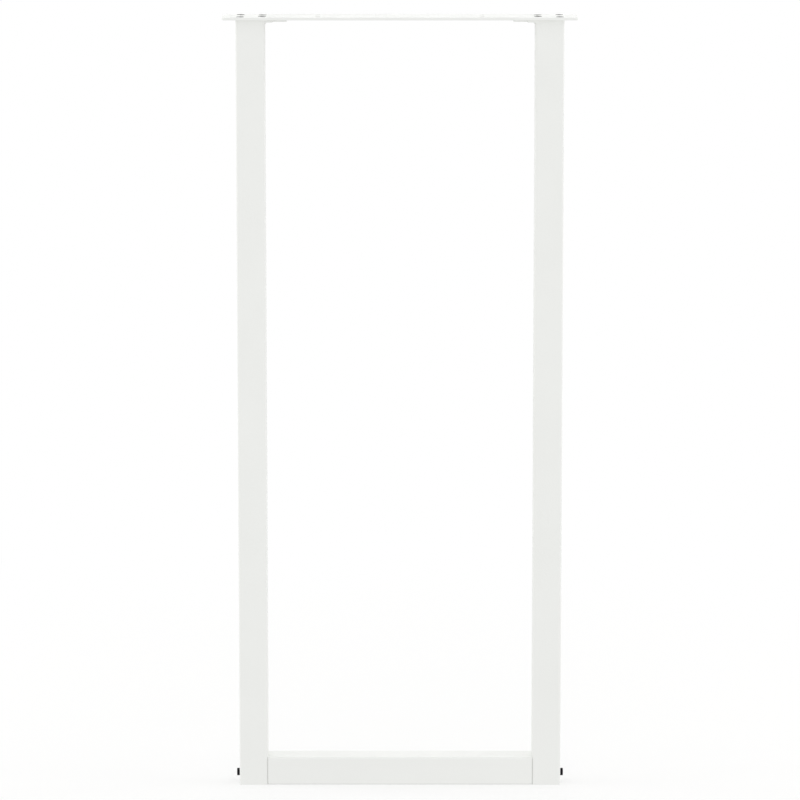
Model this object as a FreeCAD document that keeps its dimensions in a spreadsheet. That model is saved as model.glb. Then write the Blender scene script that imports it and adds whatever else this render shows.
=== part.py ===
import FreeCAD, Part
import Sketcher
import os

from FreeCAD import Placement, Rotation, Vector

# U-shaped table leg in white powder-coated steel, made to come apart: two square posts with a
# flat top plate screwed onto their heads and a bottom rail bolted between their feet.
# Millimetres. X runs along the width, Y from front to back, Z up. The origin is on the floor,
# in the middle of the frame.

# Every size that can be set by itself, with what it measures.
SIZES = (
    ("frame_width", 300.0, "over the outer sides of the two posts"),
    ("frame_height", 720.0, "floor to the top face of the top plate"),
    ("tube_side", 26.5, "outer side of the square tube"),
    ("tube_wall", 1.5, "wall of the tube"),
    ("tube_corner", 1.8, "outer radius of the tube's corners"),
    ("plate_thickness", 2.5, "top plate sheet"),
    ("plate_end_overhang", 12.5, "top plate past each post along the width"),
    ("plate_side_overhang", 5.0, "top plate past the posts at front and back"),
    ("plate_corner", 3.0, "radius of the top plate's corners"),
    ("plate_edge", 0.4, "bevel of the top plate's upper and lower edges"),
    ("head_thickness", 2.5, "head plate sheet, welded on top of each post"),
    ("head_shoulder", 7.0, "full-width part of the head plate past the post's inner side"),
    ("tongue_reach", 20.0, "tongue of the head plate, from the post's inner side to its end"),
    ("tongue_step", 8.0, "head plate's side to the tongue's side"),
    ("tongue_corner", 2.5, "radius of the tongue's two end corners"),
    ("outer_screw_end", 4.2, "outer screw pair's axes from the post's outer side"),
    ("inner_screw_end", 2.4, "inner screw pair's axes from the post's inner side"),
    ("outer_screw_side", 3.25, "outer screw pair's axes from the post's front and back"),
    ("inner_screw_side", 5.75, "inner screw pair's axes from the post's front and back"),
    ("screw_thread", 4.0, "thread diameter of the countersunk screws"),
    ("screw_head", 7.5, "head diameter of the countersunk screws"),
    ("screw_socket", 2.5, "hexagon socket across flats"),
    ("screw_socket_depth", 1.2, "depth of that socket"),
    ("bolt_height", 9.4, "rail bolt axis above the floor"),
    ("bolt_thread", 4.0, "thread diameter of the rail bolts"),
    ("bolt_head", 7.0, "diameter of the bolt's low cylindrical head"),
    ("bolt_head_height", 2.8, "height of that head"),
    ("bolt_head_bevel", 0.3, "bevel round the top of that head"),
    ("bolt_socket", 2.5, "hexagon socket across flats"),
    ("bolt_socket_depth", 2.0, "depth of that socket"),
    ("bolt_past_nut", 3.5, "end of the rail bolt past its nut plate"),
    ("nut_plate_thickness", 5.0, "threaded plate welded into each end of the rail"),
    ("cap_thickness", 2.0, "plate welded flush into the foot of each post"),
    ("tabletop_hole", 5.0, "hole for a tabletop screw"),
    ("tabletop_hole_inset", 48.5, "tabletop hole axis from the post's inner side"),
    ("tabletop_hole_edge", 9.25, "tabletop hole axis from the top plate's front or back edge"),
    ("thread_clearance", 0.1, "modelled tapped hole over its thread, on the diameter"),
    ("screw_clearance", 0.3, "top plate's screw hole over the thread, on the diameter"),
    ("seat_clearance", 0.1, "countersink over the screw head, on the diameter"),
    ("bolt_clearance", 0.5, "post's bolt holes over the thread, on the diameter"),
    ("screw_short", 0.2, "end of each countersunk screw short of the head plate's underside"),
    ("inset_clearance", 0.1, "between a tube's inner wall and a plate welded into it"),
)

# Sizes that follow from the ones above.
TUBE_BORE = "(Sizes.tube_side - 2 * Sizes.tube_wall)"
BORE_CORNER = "(Sizes.tube_corner - Sizes.tube_wall)"
POST_LENGTH = "(Sizes.frame_height - Sizes.plate_thickness - Sizes.head_thickness)"
POST_AXIS = "(Sizes.frame_width - Sizes.tube_side) / 2"
RAIL_LENGTH = "(Sizes.frame_width - 2 * Sizes.tube_side)"
PLATE_LENGTH = "(Sizes.frame_width + 2 * Sizes.plate_end_overhang)"
PLATE_DEPTH = "(Sizes.tube_side + 2 * Sizes.plate_side_overhang)"
SCREW_LENGTH = "(Sizes.plate_thickness + Sizes.head_thickness - Sizes.screw_short)"
BOLT_LENGTH = "(Sizes.tube_side + Sizes.nut_plate_thickness + Sizes.bolt_past_nut)"
OUTER_END = "(Sizes.tube_side / 2 - Sizes.outer_screw_end)"
INNER_END = "(Sizes.tube_side / 2 - Sizes.inner_screw_end)"
OUTER_SIDE = "(Sizes.tube_side / 2 - Sizes.outer_screw_side)"
INNER_SIDE = "(Sizes.tube_side / 2 - Sizes.inner_screw_side)"

# A post's screws: name, distance outwards from the post's axis, and distance to the back.
SCREW_PLACES = (
    ("outer_front", OUTER_END, f"-{OUTER_SIDE}"),
    ("outer_back", OUTER_END, OUTER_SIDE),
    ("inner_front", f"-{INNER_END}", f"-{INNER_SIDE}"),
    ("inner_back", f"-{INNER_END}", INNER_SIDE),
)

# The two posts: name and direction from the middle of the frame.
SIDES = (("left", -1), ("right", 1))

ORIGIN = (-1, 1)

doc = FreeCAD.newDocument("TableLeg")
sheet = doc.addObject("Spreadsheet::Sheet", "Sizes")
for row, (alias, value, meaning) in enumerate(SIZES, start=1):
    sheet.set(f"A{row}", alias)
    sheet.set(f"B{row}", str(value))
    sheet.set(f"C{row}", meaning)
    sheet.setAlias(f"B{row}", alias)
doc.recompute()

sub_parts = []


def new_body(label):
    """A body of its own for one physical piece."""
    body = doc.addObject("PartDesign::Body", label)
    body.Label = label
    sub_parts.append(body)
    return body


def place(body, x="0", y="0", z="0", turn=None):
    """Sets the body's turn, then ties its position to the sizes."""
    if turn is not None:
        body.Placement = Placement(Vector(), turn)
    for axis, expression in (("x", x), ("y", y), ("z", z)):
        body.setExpression(f"Placement.Base.{axis}", expression)


def new_sketch(body, role, offset="0"):
    """A sketch on one of the body's own origin planes, lifted off it by the offset."""
    plane = next(o for o in body.Origin.OriginFeatures if o.Role == role)
    sketch = body.newObject("Sketcher::SketchObject", f"{body.Name}_sketch")
    sketch.AttachmentSupport = (plane, [""])
    sketch.MapMode = "FlatFace"
    sketch.setExpression("AttachmentOffset.Base.z", offset)
    return sketch


def bind(sketch, constraint, expression):
    """Adds one driving constraint and ties its value to the sizes."""
    index = sketch.addConstraint(constraint)
    name = f"size_{index}"
    sketch.renameConstraint(index, name)
    sketch.setExpression(f"Constraints.{name}", expression)


def outline(sketch, corners):
    """A closed outline of straight sides, whose corners are pairs of expressions."""
    points = [Vector(sketch.evalExpression(x), sketch.evalExpression(y), 0) for x, y in corners]
    count = len(points)
    first = sketch.GeometryCount
    for k in range(count):
        sketch.addGeometry(Part.LineSegment(points[k], points[(k + 1) % count]), False)
    for k, (x, y) in enumerate(corners):
        side = first + k
        following = first + (k + 1) % count
        sketch.addConstraint(Sketcher.Constraint("Coincident", side, 2, following, 1))
        bind(sketch, Sketcher.Constraint("DistanceX", *ORIGIN, side, 1, points[k].x), x)
        bind(sketch, Sketcher.Constraint("DistanceY", *ORIGIN, side, 1, points[k].y), y)


def rounded_square(sketch, side, corner):
    """A closed square centred on the sketch's origin, with an arc tangent at each corner."""
    half = sketch.evalExpression(side) / 2
    radius = sketch.evalExpression(corner)
    straight = half - radius
    first = sketch.GeometryCount
    lines = [first + 2 * k for k in range(4)]
    arcs = [first + 2 * k + 1 for k in range(4)]
    for k in range(4):
        turn = Rotation(Vector(0, 0, 1), 90 * k)
        start = turn.multVec(Vector(-straight, -half, 0))
        end = turn.multVec(Vector(straight, -half, 0))
        centre = turn.multVec(Vector(straight, -straight, 0))
        middle = centre + turn.multVec(Vector(radius, -radius, 0).normalize() * radius)
        finish = turn.multVec(Vector(half, -straight, 0))
        sketch.addGeometry(Part.LineSegment(start, end), False)
        sketch.addGeometry(Part.Arc(end, middle, finish), False)
    for k in range(4):
        sketch.addConstraint(Sketcher.Constraint("Tangent", lines[k], 2, arcs[k], 1))
        sketch.addConstraint(Sketcher.Constraint("Tangent", arcs[k], 2, lines[(k + 1) % 4], 1))
        direction = "Vertical" if k % 2 else "Horizontal"
        sketch.addConstraint(Sketcher.Constraint(direction, lines[k]))
    for k in range(1, 4):
        sketch.addConstraint(Sketcher.Constraint("Equal", arcs[0], arcs[k]))
    sketch.addConstraint(Sketcher.Constraint("Symmetric", arcs[0], 3, arcs[2], 3, *ORIGIN))
    bind(sketch, Sketcher.Constraint("DistanceX", lines[3], 1, lines[1], 1, 2 * half), side)
    bind(sketch, Sketcher.Constraint("DistanceY", lines[0], 1, lines[2], 1, 2 * half), side)
    bind(sketch, Sketcher.Constraint("Radius", arcs[0], radius), corner)


def circles(sketch, centres, diameter):
    """Circles of one diameter, with centres given as pairs of expressions."""
    radius = sketch.evalExpression(diameter) / 2
    for x, y in centres:
        centre = Vector(sketch.evalExpression(x), sketch.evalExpression(y), 0)
        circle = sketch.addGeometry(Part.Circle(centre, Vector(0, 0, 1), radius), False)
        bind(sketch, Sketcher.Constraint("DistanceX", *ORIGIN, circle, 3, centre.x), x)
        bind(sketch, Sketcher.Constraint("DistanceY", *ORIGIN, circle, 3, centre.y), y)
        bind(sketch, Sketcher.Constraint("Diameter", circle, 2 * radius), diameter)


def pad(body, sketch, length):
    """Gives the sketch a thickness along its plane's normal."""
    feature = body.newObject("PartDesign::Pad", f"{body.Name}_pad")
    feature.Profile = sketch
    feature.setExpression("Length", length)
    return feature


def drill(body, role, centres, diameter, offset="0"):
    """Round holes right through the body, square to one of its planes."""
    sketch = new_sketch(body, role, offset)
    circles(sketch, centres, diameter)
    feature = body.newObject("PartDesign::Pocket", f"{body.Name}_holes")
    feature.Profile = sketch
    feature.Type = "ThroughAll"
    feature.Midplane = True


def revolve(body, corners):
    """Turns an outline in the XZ plane round the Z axis."""
    sketch = new_sketch(body, "XZ_Plane")
    outline(sketch, corners)
    feature = body.newObject("PartDesign::Revolution", f"{body.Name}_turned")
    feature.Profile = sketch
    feature.ReferenceAxis = (sketch, ["V_Axis"])
    feature.Angle = 360


def hexagon_socket(body, across_flats, depth, top="0"):
    """A hexagon socket sunk into the body from the height of its head's top."""
    radius = f"{across_flats} / 2 / cos(30 deg)"
    corners = [(f"{radius} * cos({60 * k} deg)", f"{radius} * sin({60 * k} deg)") for k in range(6)]
    sketch = new_sketch(body, "XY_Plane", top)
    outline(sketch, corners)
    feature = body.newObject("PartDesign::Pocket", f"{body.Name}_socket")
    feature.Profile = sketch
    feature.setExpression("Length", depth)
    return feature


def dress_edges(body, base, kind, size, chosen):
    """Rounds (Fillet) or bevels (Chamfer) the edges of the base feature that the test picks out."""
    doc.recompute()
    names = [f"Edge{i}" for i, edge in enumerate(base.Shape.Edges, start=1) if chosen(edge)]
    feature = body.newObject(f"PartDesign::{kind}", f"{body.Name}_{kind.lower()}")
    feature.Base = (base, names)
    feature.setExpression("Radius" if kind == "Fillet" else "Size", size)
    return feature


def is_upright(edge):
    """True for a straight edge that runs along Z."""
    return len(edge.Vertexes) == 2 and abs(edge.tangentAt(edge.FirstParameter).z) > 0.999


def tube(label, role, length):
    """A square tube along the normal of the given plane, hollow from end to end."""
    body = new_body(label)
    sketch = new_sketch(body, role)
    rounded_square(sketch, "Sizes.tube_side", "Sizes.tube_corner")
    rounded_square(sketch, TUBE_BORE, BORE_CORNER)
    pad(body, sketch, length)
    return body


def inset_plate(label, role, thickness):
    """A square plate that fits inside the tube with a small clearance all round."""
    body = new_body(label)
    sketch = new_sketch(body, role)
    side = f"({TUBE_BORE} - 2 * Sizes.inset_clearance)"
    rounded_square(sketch, side, f"({BORE_CORNER} - Sizes.inset_clearance)")
    pad(body, sketch, thickness)
    return body


def post(name, side):
    """An upright tube that stands on the floor, drilled through near its foot for the bolt."""
    body = tube(f"{name}_post", "XY_Plane", POST_LENGTH)
    hole = "(Sizes.bolt_thread + Sizes.bolt_clearance)"
    drill(body, "YZ_Plane", [("0", "Sizes.bolt_height")], hole)
    place(body, x=f"{side} * {POST_AXIS}")


def foot_cap(name, side):
    """A plate that closes the post's foot, flush with its end."""
    body = inset_plate(f"{name}_foot_cap", "XY_Plane", "Sizes.cap_thickness")
    place(body, x=f"{side} * {POST_AXIS}")


def head_plate(name, side):
    """The plate on top of a post: wide and rounded as the tube, with a tongue on its inner side."""
    body = new_body(f"{name}_head_plate")
    sketch = new_sketch(body, "XY_Plane")
    edge = "Sizes.tube_side / 2"
    shoulder = f"({edge} + Sizes.head_shoulder)"
    tip = f"({edge} + Sizes.tongue_reach)"
    tongue = f"({edge} - Sizes.tongue_step)"
    half = [(tip, tongue), (shoulder, tongue), (shoulder, edge), (f"-{edge}", edge)]
    outline(sketch, half + [(x, f"-{y}") for x, y in reversed(half)])
    blank = pad(body, sketch, "Sizes.head_thickness")
    tip_x = sketch.evalExpression(tip)
    shoulder_x = sketch.evalExpression(shoulder)

    def at_tip(edge):
        return is_upright(edge) and edge.Vertexes[0].X > tip_x - 0.01

    def before_tongue(edge):
        return is_upright(edge) and edge.Vertexes[0].X < shoulder_x + 0.01

    ends = dress_edges(body, blank, "Fillet", "Sizes.tongue_corner", at_tip)
    dress_edges(body, ends, "Fillet", "Sizes.tube_corner", before_tongue)
    centres = [(f"-{x}", y) for _, x, y in SCREW_PLACES]
    drill(body, "XY_Plane", centres, "(Sizes.screw_thread + Sizes.thread_clearance)")
    turn = Rotation(Vector(0, 0, 1), 0 if side < 0 else 180)
    place(body, x=f"{side} * {POST_AXIS}", z=POST_LENGTH, turn=turn)


def top_plate():
    """The flat plate that carries the tabletop, countersunk for the screws into the posts."""
    body = new_body("top_plate")
    sketch = new_sketch(body, "XY_Plane")
    reach = f"{PLATE_LENGTH} / 2"
    depth = f"{PLATE_DEPTH} / 2"
    outline(sketch, [(f"-{reach}", f"-{depth}"), (reach, f"-{depth}"), (reach, depth),
                     (f"-{reach}", depth)])
    blank = pad(body, sketch, "Sizes.plate_thickness")
    corners = dress_edges(body, blank, "Fillet", "Sizes.plate_corner", is_upright)
    dress_edges(body, corners, "Chamfer", "Sizes.plate_edge", lambda edge: not is_upright(edge))

    hole_x = "(Sizes.frame_width / 2 - Sizes.tube_side - Sizes.tabletop_hole_inset)"
    hole_y = f"({PLATE_DEPTH} / 2 - Sizes.tabletop_hole_edge)"
    tabletop = [(f"{x} * {hole_x}", f"{y} * {hole_y}") for x in (-1, 1) for y in (-1, 1)]
    drill(body, "XY_Plane", tabletop, "Sizes.tabletop_hole")

    screws = new_sketch(body, "XY_Plane", "Sizes.plate_thickness")
    axes = [(f"{side} * ({POST_AXIS} + {x})", y) for _, side in SIDES for _, x, y in SCREW_PLACES]
    circles(screws, axes, "(Sizes.screw_thread + Sizes.screw_clearance)")
    doc.recompute()
    seats = body.newObject("PartDesign::Hole", "screw_seats")
    seats.Profile = screws
    seats.DepthType = "ThroughAll"
    seats.ThreadType = "None"
    seats.HoleCutType = "Countersink"
    seats.setExpression("Diameter", "Sizes.screw_thread + Sizes.screw_clearance")
    seats.setExpression("HoleCutDiameter", "Sizes.screw_head + Sizes.seat_clearance")
    seats.HoleCutCountersinkAngle = 90
    place(body, z="Sizes.frame_height - Sizes.plate_thickness")


def plate_screw(name, side, place_name, x, y):
    """A countersunk socket screw through the top plate into a tapped hole of the head plate."""
    body = new_body(f"{name}_screw_{place_name}")
    head = "Sizes.screw_head / 2"
    shank = "Sizes.screw_thread / 2"
    revolve(body, [
        ("0", f"-{SCREW_LENGTH}"),
        (shank, f"-{SCREW_LENGTH}"),
        (shank, f"{shank} - {head}"),
        (head, "0"),
        ("0", "0"),
    ])
    hexagon_socket(body, "Sizes.screw_socket", "Sizes.screw_socket_depth")
    place(body, x=f"{side} * ({POST_AXIS} + {x})", y=y, z="Sizes.frame_height")


def rail_bolt(name, side):
    """A bolt with a low cylindrical head, through the post's foot into the rail's nut plate."""
    body = new_body(f"{name}_rail_bolt")
    head = "Sizes.bolt_head / 2"
    shank = "Sizes.bolt_thread / 2"
    top = "Sizes.bolt_head_height"
    revolve(body, [
        ("0", f"-{BOLT_LENGTH}"),
        (shank, f"-{BOLT_LENGTH}"),
        (shank, "0"),
        (head, "0"),
        (head, f"{top} - Sizes.bolt_head_bevel"),
        (f"{head} - Sizes.bolt_head_bevel", top),
        ("0", top),
    ])
    hexagon_socket(body, "Sizes.bolt_socket", "Sizes.bolt_socket_depth", top)
    turn = Rotation(Vector(0, 0, 1), Vector(side, 0, 0))
    place(body, x=f"{side} * Sizes.frame_width / 2", z="Sizes.bolt_height", turn=turn)


def bottom_rail():
    """The square tube between the posts' feet, cut square at both ends."""
    body = tube("bottom_rail", "YZ_Plane", RAIL_LENGTH)
    place(body, x=f"-{RAIL_LENGTH} / 2", z="Sizes.tube_side / 2")


def rail_nut_plate(name, side):
    """A tapped plate in the end of the rail, flush with the cut, that takes the rail bolt."""
    body = inset_plate(f"{name}_rail_nut_plate", "YZ_Plane", "Sizes.nut_plate_thickness")
    drop = "(Sizes.bolt_height - Sizes.tube_side / 2)"
    drill(body, "YZ_Plane", [("0", drop)], "(Sizes.bolt_thread + Sizes.thread_clearance)")
    start = f"-{RAIL_LENGTH} / 2" if side < 0 else f"{RAIL_LENGTH} / 2 - Sizes.nut_plate_thickness"
    place(body, x=start, z="Sizes.tube_side / 2")


top_plate()
bottom_rail()
for name, side in SIDES:
    post(name, side)
    foot_cap(name, side)
    head_plate(name, side)
    rail_nut_plate(name, side)
    rail_bolt(name, side)
    for place_name, x, y in SCREW_PLACES:
        plate_screw(name, side, place_name, x, y)
doc.recompute()

failed = [o.Name for o in doc.Objects if "Invalid" in o.State or "Error" in o.State]
failed += [b.Label for b in sub_parts if b.Shape.isNull() or not b.Shape.isValid()]
if failed:
    raise RuntimeError(f"these did not build: {', '.join(failed)}")

os.makedirs("parts", exist_ok=True)
for body in sub_parts:
    body.Shape.exportStep(f"parts/{body.Label}.step")
    box = body.Shape.BoundBox
    print(f"{body.Label}: {body.Shape.Volume:.1f} mm3, solids {len(body.Shape.Solids)}, "
          f"x {box.XMin:.2f} to {box.XMax:.2f}, y {box.YMin:.2f} to {box.YMax:.2f}, "
          f"z {box.ZMin:.2f} to {box.ZMax:.2f}")
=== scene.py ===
import bpy
import numpy as np
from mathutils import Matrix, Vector


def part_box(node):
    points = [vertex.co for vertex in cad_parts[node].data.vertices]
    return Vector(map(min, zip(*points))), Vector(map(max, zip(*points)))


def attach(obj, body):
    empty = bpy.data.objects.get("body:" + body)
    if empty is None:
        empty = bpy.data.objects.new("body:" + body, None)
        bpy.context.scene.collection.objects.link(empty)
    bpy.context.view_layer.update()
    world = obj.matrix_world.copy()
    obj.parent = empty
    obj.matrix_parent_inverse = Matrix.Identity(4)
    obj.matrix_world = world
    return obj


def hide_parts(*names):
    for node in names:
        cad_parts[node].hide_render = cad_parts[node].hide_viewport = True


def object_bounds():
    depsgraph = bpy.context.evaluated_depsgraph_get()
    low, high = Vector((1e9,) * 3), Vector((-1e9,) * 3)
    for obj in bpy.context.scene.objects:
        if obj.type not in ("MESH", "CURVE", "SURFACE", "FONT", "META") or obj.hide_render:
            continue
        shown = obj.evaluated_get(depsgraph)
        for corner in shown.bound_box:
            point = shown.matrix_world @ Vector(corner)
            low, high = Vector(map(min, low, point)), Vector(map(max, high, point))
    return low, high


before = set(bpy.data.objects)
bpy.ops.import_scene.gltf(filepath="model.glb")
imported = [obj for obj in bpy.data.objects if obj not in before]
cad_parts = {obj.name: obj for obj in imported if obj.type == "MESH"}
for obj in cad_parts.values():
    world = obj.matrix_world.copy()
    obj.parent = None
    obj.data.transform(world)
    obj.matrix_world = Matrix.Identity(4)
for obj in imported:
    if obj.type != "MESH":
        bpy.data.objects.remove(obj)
cad_low, cad_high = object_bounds()

# U-shaped table leg of square steel tube in white powder coat: two posts, a rail between their
# feet, a flat plate screwed onto their heads with black countersunk screws, and a black bolt
# with a low head through each foot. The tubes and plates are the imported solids. The screws, the
# bolts and the weld beads under the head plates are made here.
# Lengths are in metres, and small ones are written in millimetres times MM.
MM = 0.001

# Each side with its direction along X, and the places of the four screws over each post.
SIDES = {"left": -1, "right": 1}
PLATE_SCREWS = ("outer_front", "outer_back", "inner_front", "inner_back")

# Countersunk plate screw, M4 with a 2.5 mm hexagon socket. Its rim is a fine rounded edge, and
# the drop from its top to where it is widest is a share of that edge.
SCREW_HEAD = 7.5 * MM
SCREW_HEAD_EDGE = 0.08 * MM
SCREW_RIM_DROP = 0.7
SCREW_THREAD = 4.0 * MM
SCREW_PITCH = 0.7 * MM
SCREW_SOCKET = 2.5 * MM
SCREW_SOCKET_DEPTH = 1.2 * MM

# Rail bolt with a low cylindrical head, M4 with a 2.5 mm hexagon socket.
BOLT_HEAD = 7.0 * MM
BOLT_HEAD_HEIGHT = 2.8 * MM
BOLT_HEAD_ROUNDING = 0.35 * MM
BOLT_ROUNDING_POINTS = 7
BOLT_THREAD = 4.0 * MM
BOLT_PITCH = 0.7 * MM
BOLT_THREADED = 14.0 * MM
BOLT_SOCKET = 2.5 * MM
BOLT_SOCKET_DEPTH = 2.0 * MM

# Both kinds of screw. The thread's depth, its flat crest and its flat root are shares of the
# pitch. The socket ends in a ring that is nearly a point, whose radius is a share of the socket.
# Edges that turn by more than the sharp angle, in degrees, stay sharp.
SOCKET_BEVEL = 0.12 * MM
SOCKET_POINT = 0.35 * MM
SOCKET_POINT_RADIUS = 0.02
THREAD_DEPTH = 0.61
THREAD_FLAT = 0.125
TIP_BEVEL = 0.45 * MM
POINTS_AROUND = 48
RINGS_PER_TURN = 8
SCREW_SHARP = 20.0

# Weld bead in the corner between a post's inner side and its head plate. Its bulge is the power
# of its curve across, which would be straight at one. Its ripples and its slow swell have a
# spacing and a depth, which is a share of the leg. The rounding of its ends stops just short of
# one, so that the last ring keeps a size.
WELD_LEG = 2.2 * MM
WELD_HALF_LENGTH = 10.0 * MM
WELD_BULGE = 1.1
WELD_RIPPLE = 1.1 * MM
WELD_RIPPLE_DEPTH = 0.012
WELD_RIPPLE_BOW = 0.9 * MM
WELD_SWELL = 7.3 * MM
WELD_SWELL_DEPTH = 0.06
WELD_ROUNDING = 0.9998
WELD_RINGS = 181
WELD_POINTS = 14
WELD_SHARP = 50.0

# White powder coat. Its film and its sheen change over centimetres. Its orange peel has long
# waves and short ones, as wide as on a real coat. They are only a few thousandths of a
# millimetre high there, too fine to show, so they are drawn higher.
COAT_THIN = "#EAEBE8"
COAT_THICK = "#ECEDEA"
COAT_FILM_PATCH = 70.0 * MM
COAT_SHEEN_PATCH = 25.0 * MM
COAT_ROUGHNESS = (0.40, 0.47)
COAT_IOR = 1.5
LONG_PEEL_WIDTH = 1.8 * MM
LONG_PEEL_HEIGHT = 0.06 * MM
LONG_PEEL_STRENGTH = 1.0
SHORT_PEEL_WIDTH = 0.35 * MM
SHORT_PEEL_HEIGHT = 0.012 * MM
SHORT_PEEL_STRENGTH = 0.6

# Black oxide on the screws. The bath leaves patches, and the oil smaller ones. The grain of the
# steel is a few hundredths of a millimetre wide, too fine to show, so it is drawn coarser.
OXIDE_DARK = "#161618"
OXIDE_PALE = "#242427"
OXIDE_PATCH = 1.6 * MM
OIL_PATCH = 0.9 * MM
OIL_ROUGHNESS = (0.46, 0.60)
GRAIN_WIDTH = 0.12 * MM
GRAIN_HEIGHT = 0.01 * MM
GRAIN_STRENGTH = 0.2

# Bare rolled steel. Its streaks run along Y, the rolling direction: the place that the pattern
# reads shrinks to this share along it, which draws each streak out to 8 mm. Real streaks are
# about a tenth of a millimetre wide, too fine to show, so they are drawn coarser.
STEEL_DARK = "#8B8A87"
STEEL_PALE = "#A9A8A4"
STEEL_PATCH = 6.0 * MM
STEEL_ROUGHNESS = (0.38, 0.52)
STREAK_WIDTH = 0.5 * MM
STREAK_SHRINK = 0.06
STREAK_HEIGHT = 0.01 * MM
STREAK_STRENGTH = 0.3

# The range that noise seldom leaves. Patches stretch it to their own two ends.
NOISE_LOW = 0.3
NOISE_HIGH = 0.7

# The mix node's sockets, by number: its share, its two colours and the colour that comes out.
MIX_SHARE = 0
MIX_FIRST = 6
MIX_SECOND = 7
MIX_RESULT = 2

# Camera: in front of the frame and above it, pitched down by so many degrees. The long lens
# keeps the posts nearly parallel. The lens and the sensor are in millimetres.
CAMERA_DISTANCE = 4.5
CAMERA_HEIGHT = 1.157
CAMERA_PITCH = 10.0
CAMERA_LENS = 222.0
CAMERA_SENSOR = 36.0

# Floor: pale near the frame, and the same as the white background further out. Its glow is the
# share of plain white near the frame, which keeps the shadow light.
FLOOR_COLOUR = "#F8F8F7"
FLOOR_HALF = 8.0
FLOOR_GAP = 0.05 * MM
FLOOR_GLOW = 0.45
FLOOR_FADE_START = 0.30
FLOOR_FADE_END = 1.10

# Light: the white surroundings as a share of full white, and each square softbox with its place,
# the length of its side and its strength.
WHITE = (1.0, 1.0, 1.0, 1.0)
SURROUNDINGS = 0.80
SOFTBOXES = {
    "softbox_above": ((0.0, 0.0, 9.0), 6.5, 0.085),
    "softbox_left": ((-3.0, 0.0, 1.2), 1.8, 0.24),
    "softbox_right": ((3.0, 0.0, 1.2), 1.8, 0.25),
    "softbox_front": ((0.0, -3.6, 0.3), 2.0, 0.15),
    "softbox_back": ((0.0, 3.6, 1.6), 2.4, 0.08),
}


def linear(code):
    """The linear colour of an sRGB hex code: the usual curve with a straight foot near black."""
    srgb = np.array([int(code[k:k + 2], 16) for k in (1, 3, 5)]) / 255
    curve = np.where(srgb <= 0.04045, srgb / 12.92, ((srgb + 0.055) / 1.055) ** 2.4)
    return (*curve.tolist(), 1.0)


def add(tree, kind, settings=None, values=None, links=None):
    """Adds a node: settings are its own properties, values go to its unlinked sockets, and links
    join its sockets to other nodes' outputs. A socket goes by its name, or by its number where
    several share one name."""
    node = tree.nodes.new(kind)
    for name, value in (settings or {}).items():
        setattr(node, name, value)
    for name, value in (values or {}).items():
        node.inputs[name].default_value = value
    for name, output in (links or {}).items():
        tree.links.new(output, node.inputs[name])
    return node


def new_material(name):
    """An empty node material with the place in metres that its patterns follow."""
    material = bpy.data.materials.new(name)
    material.use_nodes = True
    tree = material.node_tree
    tree.nodes.clear()
    place = add(tree, "ShaderNodeTexCoord").outputs["Object"]
    return material, tree, place


def patches(tree, place, width, low, high, detail=2.0):
    """A number that drifts between low and high in patches about as wide as the width."""
    noise = add(tree, "ShaderNodeTexNoise", {}, {"Scale": 1 / width, "Detail": detail},
                {"Vector": place}).outputs["Fac"]
    ends = {"From Min": NOISE_LOW, "From Max": NOISE_HIGH, "To Min": low, "To Max": high}
    return add(tree, "ShaderNodeMapRange", {}, ends, {"Value": noise}).outputs["Result"]


def relief(tree, place, width, height, strength, detail=2.0, links=None):
    """A bumpy normal whose bumps are about as wide and as high as given. A normal in the links
    lies under it."""
    noise = add(tree, "ShaderNodeTexNoise", {}, {"Scale": 1 / width, "Detail": detail},
                {"Vector": place}).outputs["Fac"]
    return add(tree, "ShaderNodeBump", {}, {"Strength": strength, "Distance": height},
               {"Height": noise, **(links or {})}).outputs["Normal"]


def finish_surface(tree, values, links):
    """Adds the shader, with its values and links, and the output of the material."""
    shader = add(tree, "ShaderNodeBsdfPrincipled", {}, values, links)
    add(tree, "ShaderNodeOutputMaterial", {}, {}, {"Surface": shader.outputs["BSDF"]})


def white_powder_coat():
    """Polyester powder, sprayed dry and baked: a warm white film that is satin, not mirror glossy,
    with the shallow orange peel of a baked coat and a film that is a touch thicker here and there."""
    material, tree, place = new_material("white_powder_coat_satin")
    film = patches(tree, place, COAT_FILM_PATCH, 0.0, 1.0)
    colour = add(tree, "ShaderNodeMix", {"data_type": "RGBA"},
                 {MIX_FIRST: linear(COAT_THIN), MIX_SECOND: linear(COAT_THICK)},
                 {MIX_SHARE: film}).outputs[MIX_RESULT]
    sheen = patches(tree, place, COAT_SHEEN_PATCH, *COAT_ROUGHNESS)
    long_peel = relief(tree, place, LONG_PEEL_WIDTH, LONG_PEEL_HEIGHT, LONG_PEEL_STRENGTH, detail=1.0)
    peel = relief(tree, place, SHORT_PEEL_WIDTH, SHORT_PEEL_HEIGHT, SHORT_PEEL_STRENGTH, detail=1.0,
                  links={"Normal": long_peel})
    finish_surface(tree, {"IOR": COAT_IOR},
                   {"Base Color": colour, "Roughness": sheen, "Normal": peel})
    return material


def black_oxide_steel():
    """Steel screws blackened in a hot salt bath and oiled: nearly black, with a dull metallic
    shine that differs a little from patch to patch."""
    material, tree, place = new_material("black_oxide_steel_oiled")
    oxide = patches(tree, place, OXIDE_PATCH, 0.0, 1.0, detail=3.0)
    colour = add(tree, "ShaderNodeMix", {"data_type": "RGBA"},
                 {MIX_FIRST: linear(OXIDE_DARK), MIX_SECOND: linear(OXIDE_PALE)},
                 {MIX_SHARE: oxide}).outputs[MIX_RESULT]
    shine = patches(tree, place, OIL_PATCH, *OIL_ROUGHNESS)
    grain = relief(tree, place, GRAIN_WIDTH, GRAIN_HEIGHT, GRAIN_STRENGTH)
    finish_surface(tree, {"Metallic": 1.0},
                   {"Base Color": colour, "Roughness": shine, "Normal": grain})
    return material


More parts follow.
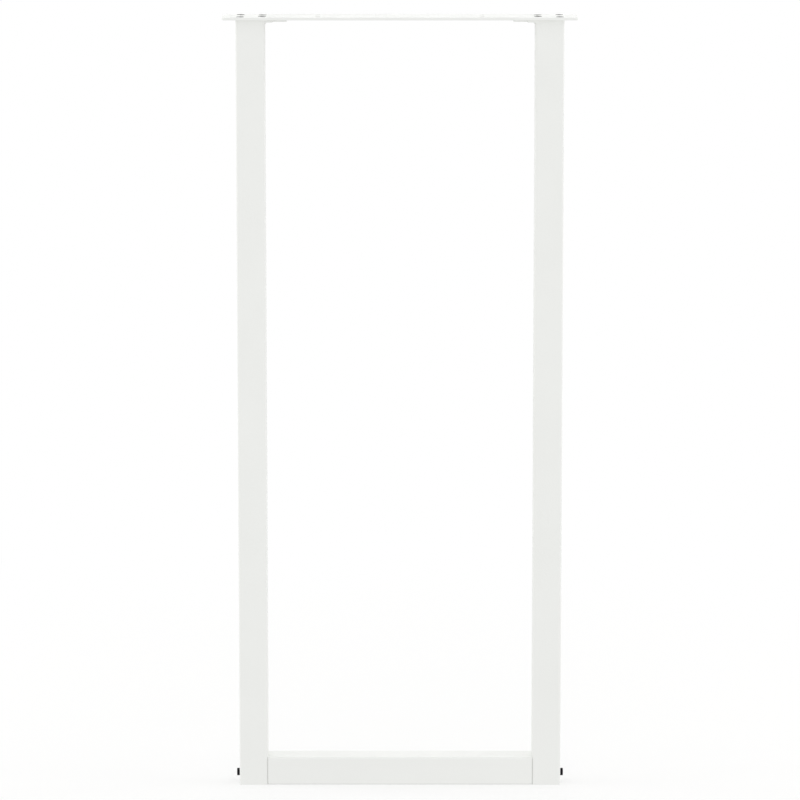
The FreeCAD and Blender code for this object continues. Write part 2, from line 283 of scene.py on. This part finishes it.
def bare_steel():
    """Hot rolled strip with its mill scale brushed off: a mid grey metal, dull, with long pale
    streaks along the rolling direction."""
    material, tree, place = new_material("bare_rolled_steel")
    drawn_out = add(tree, "ShaderNodeMapping", {}, {"Scale": (1.0, STREAK_SHRINK, 1.0)},
                    {"Vector": place}).outputs["Vector"]
    streaks = patches(tree, drawn_out, STREAK_WIDTH, 0.0, 1.0, detail=4.0)
    colour = add(tree, "ShaderNodeMix", {"data_type": "RGBA"},
                 {MIX_FIRST: linear(STEEL_DARK), MIX_SECOND: linear(STEEL_PALE)},
                 {MIX_SHARE: streaks}).outputs[MIX_RESULT]
    dullness = patches(tree, place, STEEL_PATCH, *STEEL_ROUGHNESS)
    ridges = add(tree, "ShaderNodeBump", {},
                 {"Strength": STREAK_STRENGTH, "Distance": STREAK_HEIGHT},
                 {"Height": streaks}).outputs["Normal"]
    finish_surface(tree, {"Metallic": 1.0},
                   {"Base Color": colour, "Roughness": dullness, "Normal": ridges})
    return material


def skin(name, rings, material, sharp_degrees):
    """A closed surface over rings of points, given as an array of rings by points by three.
    Each ring is joined to the next by four-sided faces, and the first and the last ring are
    closed by a fan to their middle. Faces look outwards where the points of a ring run
    anticlockwise as seen from the last ring."""
    count, around = rings.shape[:2]
    middles = rings[[0, -1]].mean(axis=1)
    points = np.concatenate([rings.reshape(-1, 3), middles])
    ring, step = np.meshgrid(np.arange(count - 1), np.arange(around), indexing="ij")
    here = (ring * around + step).ravel()
    beside = (ring * around + (step + 1) % around).ravel()
    sides = np.stack([here, beside, beside + around, here + around], axis=1)
    edge = np.arange(around)
    after = (edge + 1) % around
    last = (count - 1) * around
    first_fan = np.stack([np.full(around, count * around), after, edge], axis=1)
    last_fan = np.stack([np.full(around, count * around + 1), last + edge, last + after], axis=1)
    mesh = bpy.data.meshes.new(name)
    mesh.from_pydata(points.tolist(), [], sides.tolist() + first_fan.tolist() + last_fan.tolist())
    mesh.polygons.foreach_set("use_smooth", np.ones(len(mesh.polygons), dtype=bool))
    mesh.set_sharp_from_angle(angle=np.radians(sharp_degrees))
    mesh.materials.append(material)
    piece = bpy.data.objects.new(name, mesh)
    bpy.context.scene.collection.objects.link(piece)
    return piece


def thread(height, angle, size, pitch, tip, end):
    """Radius of a right-hand thread at each height and angle: the turn's place along the pitch
    gives a ridge with a flat crest and root. The ridge is cut by a cone at the tip and runs out
    over the last turn before the end."""
    along = (height / pitch - angle / (2 * np.pi)) % 1
    ridge = 1 - np.abs(2 * along - 1)
    ridge = np.clip((ridge - THREAD_FLAT) / (1 - 2 * THREAD_FLAT), 0, 1)
    run_out = np.clip((height - (end - pitch)) / pitch, 0, 1)
    radius = size / 2 - THREAD_DEPTH * pitch * (1 - ridge) * (1 - run_out)
    return np.minimum(radius, size / 2 - TIP_BEVEL + (height - tip))


def hexagon(angle, across_flats):
    """Radius of a hexagon with a corner at angle 0: half its width across flats, divided by the
    cosine of the turn from the middle of the nearest flat."""
    from_flat = angle % (np.pi / 3) - np.pi / 6
    return across_flats / 2 / np.cos(from_flat)


def socket_screw(size, pitch, tip, thread_end, head, socket, socket_depth):
    """Rings of a screw round Z, from its tip up the thread, over the head and down the socket.
    The head is a list of radius and height, the last on the flat round the socket. The socket's
    mouth is a bevelled circle round its hexagon, and its bottom a shallow point."""
    angle = np.linspace(0, 2 * np.pi, POINTS_AROUND, endpoint=False)[None, :]
    turns = (thread_end - tip) / pitch
    height = np.linspace(tip, thread_end, int(turns * RINGS_PER_TURN) + 1)[:, None]
    shank = thread(height, angle, size, pitch, tip, thread_end)
    top = head[-1][1]
    mouth = socket / np.sqrt(3) + SOCKET_BEVEL
    circles = np.array([*head, (mouth, top)])
    flats = hexagon(angle, socket)
    walls = np.array([top - SOCKET_BEVEL, top - socket_depth])[:, None]
    point = np.array([[top - socket_depth - SOCKET_POINT]])
    radius = np.concatenate([shank, np.tile(circles[:, :1], POINTS_AROUND), np.tile(flats, (2, 1)),
                             np.full((1, POINTS_AROUND), SOCKET_POINT_RADIUS * socket)])
    level = np.concatenate([height, circles[:, 1:], walls, point])
    level = np.tile(level, POINTS_AROUND)
    return np.stack([radius * np.cos(angle), radius * np.sin(angle), level], axis=2)


def countersunk_head():
    """Radius and height up a flat head whose cone widens by as much as it rises, with a finely
    rounded rim. Height 0 is its top."""
    head, shank = SCREW_HEAD / 2, SCREW_THREAD / 2
    rim = head - 2 * SCREW_HEAD_EDGE
    cone = [(shank, shank - head), (rim, -2 * SCREW_HEAD_EDGE)]
    return cone + [(head - SCREW_HEAD_EDGE, -SCREW_RIM_DROP * SCREW_HEAD_EDGE), (rim, 0.0)]


def low_head():
    """Radius and height up a low cylinder with a fine bevel at its seat, which is height 0, and a
    quarter circle round its top edge."""
    rim = BOLT_HEAD / 2
    turn = np.linspace(0, np.pi / 2, BOLT_ROUNDING_POINTS)
    inwards = BOLT_HEAD_ROUNDING * (1 - np.cos(turn))
    below_top = BOLT_HEAD_ROUNDING * (1 - np.sin(turn))
    edge = zip(rim - inwards, BOLT_HEAD_HEIGHT - below_top)
    seat = [(BOLT_THREAD / 2, 0.0), (rim - SOCKET_BEVEL, 0.0), (rim, SOCKET_BEVEL)]
    return seat + list(edge)


def plate_screw(side, place, material):
    """One countersunk screw, with its top flush in the top plate. The thread ends half a turn
    below the head's cone."""
    node = f"{side}_screw_{place}"
    low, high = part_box(node)
    length = high.z - low.z
    head = countersunk_head()
    thread_end = head[0][1] - SCREW_PITCH / 2
    rings = socket_screw(SCREW_THREAD, SCREW_PITCH, -length, thread_end, head,
                         SCREW_SOCKET, SCREW_SOCKET_DEPTH)
    rings += [(low.x + high.x) / 2, (low.y + high.y) / 2, high.z]
    screw = skin(f"{side}_socket_screw_{place}", rings, material, SCREW_SHARP)
    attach(screw, "root")
    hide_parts(node)


def rail_bolt(side, material):
    """The bolt through a post's foot, with its low head on the post's outer side."""
    node = f"{side}_rail_bolt"
    outwards = SIDES[side]
    low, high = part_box(node)
    shank = high.x - low.x - BOLT_HEAD_HEIGHT
    rings = socket_screw(BOLT_THREAD, BOLT_PITCH, -shank, BOLT_THREADED - shank, low_head(),
                         BOLT_SOCKET, BOLT_SOCKET_DEPTH)
    across, over, along = np.moveaxis(rings, 2, 0)
    seat = (high.x if outwards > 0 else low.x) - outwards * BOLT_HEAD_HEIGHT
    rings = np.stack([seat + outwards * along, (low.y + high.y) / 2 + outwards * across,
                      (low.z + high.z) / 2 + over], axis=2)
    bolt = skin(f"{side}_low_head_bolt", rings, material, SCREW_SHARP)
    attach(bolt, "root")
    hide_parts(node)


def weld_bead(side, material):
    """The fillet weld under a head plate, on the post's inner side. Across, it is a flat curve
    from the plate down to the post: the two distances from the corner, as shares of the leg and
    each to a power a little over one, add up to one. Along, the leg follows a slow sine and a
    quick one, the ripples of the weld pool, which run ahead in the middle of the bead. At each
    end the leg falls to nothing along a quarter circle."""
    outwards = SIDES[side]
    post_low, post_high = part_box(f"{side}_post")
    inner = post_low.x if outwards > 0 else post_high.x
    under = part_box(f"{side}_head_plate")[0].z
    middle = (post_low.y + post_high.y) / 2
    place = WELD_HALF_LENGTH * np.sin(np.linspace(-np.pi / 2, np.pi / 2, WELD_RINGS))[:, None]
    turn = np.linspace(0, np.pi / 2, WELD_POINTS)[None, :]
    ahead = place + WELD_RIPPLE_BOW * np.sin(2 * turn)
    ripple = 1 + WELD_RIPPLE_DEPTH * np.sin(2 * np.pi * ahead / WELD_RIPPLE)
    swell = 1 + WELD_SWELL_DEPTH * np.sin(2 * np.pi * place / WELD_SWELL)
    into_end = np.clip(1 - (WELD_HALF_LENGTH - np.abs(place)) / WELD_LEG, 0, WELD_ROUNDING)
    leg = WELD_LEG * swell * ripple * np.sqrt(1 - into_end ** 2)
    away = leg * np.cos(turn) ** (2 / WELD_BULGE)
    down = leg * np.sin(turn) ** (2 / WELD_BULGE)
    corner = np.zeros_like(place)
    away = np.concatenate([corner, away], axis=1)
    down = np.concatenate([corner, down], axis=1)
    rings = np.stack([inner - outwards * away, middle + np.broadcast_to(place, away.shape),
                      under - down], axis=2)
    if outwards > 0:
        rings = rings[:, ::-1]
    bead = skin(f"{side}_head_weld", rings, material, WELD_SHARP)
    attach(bead, "root")


def dress_solids(finishes):
    """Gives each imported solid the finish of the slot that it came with."""
    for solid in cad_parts.values():
        for held in solid.material_slots:
            held.material = finishes[held.material.name]


def looked_at(tree):
    """One where the background is looked at, by the camera, in gloss or through glass, and zero
    where it only gives light."""
    rays = add(tree, "ShaderNodeLightPath").outputs
    seen = rays["Is Camera Ray"]
    for kind in ("Is Glossy Ray", "Is Transmission Ray"):
        seen = add(tree, "ShaderNodeMath", {"operation": "MAXIMUM"}, {},
                   {0: seen, 1: rays[kind]}).outputs[0]
    return seen


def floor_material():
    """A pale matt floor that takes the frame's soft shadow. It turns into the white background
    further out. It is there for what the camera sees and for what shows in gloss and glass. The
    soft light of the white surroundings passes it, as in a light tent, and from below it isn't
    seen."""
    material, tree, place = new_material("pale_studio_floor")
    matt = add(tree, "ShaderNodeBsdfDiffuse", {}, {"Color": linear(FLOOR_COLOUR)}).outputs["BSDF"]
    white = add(tree, "ShaderNodeEmission", {}, {"Color": WHITE, "Strength": 1.0})
    distance = add(tree, "ShaderNodeVectorMath", {"operation": "LENGTH"}, {}, {0: place})
    fade = add(tree, "ShaderNodeMapRange", {"interpolation_type": "SMOOTHSTEP"},
               {"From Min": FLOOR_FADE_START, "From Max": FLOOR_FADE_END, "To Min": FLOOR_GLOW},
               {"Value": distance.outputs["Value"]}).outputs["Result"]
    look = add(tree, "ShaderNodeMixShader", {}, {},
               {0: fade, 1: matt, 2: white.outputs["Emission"]}).outputs["Shader"]
    clear = add(tree, "ShaderNodeBsdfTransparent").outputs["BSDF"]
    back = add(tree, "ShaderNodeNewGeometry").outputs["Backfacing"]
    seen = add(tree, "ShaderNodeMath", {"operation": "SUBTRACT", "use_clamp": True}, {},
               {0: looked_at(tree), 1: back}).outputs[0]
    surface = add(tree, "ShaderNodeMixShader", {}, {}, {0: seen, 1: clear, 2: look})
    add(tree, "ShaderNodeOutputMaterial", {}, {}, {"Surface": surface.outputs["Shader"]})
    return material


def lay_floor():
    """One flat square, a hair below the feet."""
    corners = np.array([(-1, -1, 0), (1, -1, 0), (1, 1, 0), (-1, 1, 0)]) * FLOOR_HALF
    corners[:, 2] = cad_low.z - FLOOR_GAP
    mesh = bpy.data.meshes.new("floor")
    mesh.from_pydata(corners.tolist(), [], [(0, 1, 2, 3)])
    mesh.materials.append(floor_material())
    floor = bpy.data.objects.new("floor", mesh)
    bpy.context.scene.collection.objects.link(floor)


def softbox(name, place, size, strength):
    """A square lamp that faces the middle of the frame. Strength is the share of full white that
    it gives a surface that faces it there, so its power is that times pi squared and the
    distance squared."""
    middle = (cad_low + cad_high) / 2
    lamp = bpy.data.lights.new(name, "AREA")
    lamp.size = size
    away = Vector(place) - middle
    lamp.energy = strength * np.pi ** 2 * away.length_squared
    holder = bpy.data.objects.new(name, lamp)
    holder.location = place
    holder.rotation_euler = away.to_track_quat("Z", "Y").to_euler()
    bpy.context.scene.collection.objects.link(holder)


def light_studio():
    """White surroundings that look plain white, with softboxes above, at both sides, in front
    and behind."""
    world = bpy.data.worlds.new("studio")
    bpy.context.scene.world = world
    world.use_nodes = True
    tree = world.node_tree
    tree.nodes.clear()
    glow = add(tree, "ShaderNodeMapRange", {}, {"To Min": SURROUNDINGS, "To Max": 1.0},
               {"Value": looked_at(tree)}).outputs["Result"]
    sky = add(tree, "ShaderNodeBackground", {}, {"Color": WHITE},
              {"Strength": glow}).outputs["Background"]
    add(tree, "ShaderNodeOutputWorld", {}, {}, {"Surface": sky})
    for name, (place, size, strength) in SOFTBOXES.items():
        softbox(name, place, size, strength)


def set_camera():
    """The camera in front of the frame, turned up from looking straight down by a right angle
    less its pitch."""
    camera = bpy.data.cameras.new("camera")
    camera.lens = CAMERA_LENS
    camera.sensor_width = CAMERA_SENSOR
    holder = bpy.data.objects.new("camera", camera)
    holder.location = (0.0, -CAMERA_DISTANCE, CAMERA_HEIGHT)
    holder.rotation_euler = (np.radians(90 - CAMERA_PITCH), 0.0, 0.0)
    bpy.context.scene.collection.objects.link(holder)
    bpy.context.scene.camera = holder
    bpy.context.scene.view_settings.view_transform = "Standard"


finishes = {
    "white_powder_coat": white_powder_coat(),
    "black_oxide_steel": black_oxide_steel(),
    "bare_steel": bare_steel(),
}
dress_solids(finishes)
for side in SIDES:
    for place in PLATE_SCREWS:
        plate_screw(side, place, finishes["black_oxide_steel"])
    rail_bolt(side, finishes["black_oxide_steel"])
    weld_bead(side, finishes["white_powder_coat"])
lay_floor()
light_studio()
set_camera()
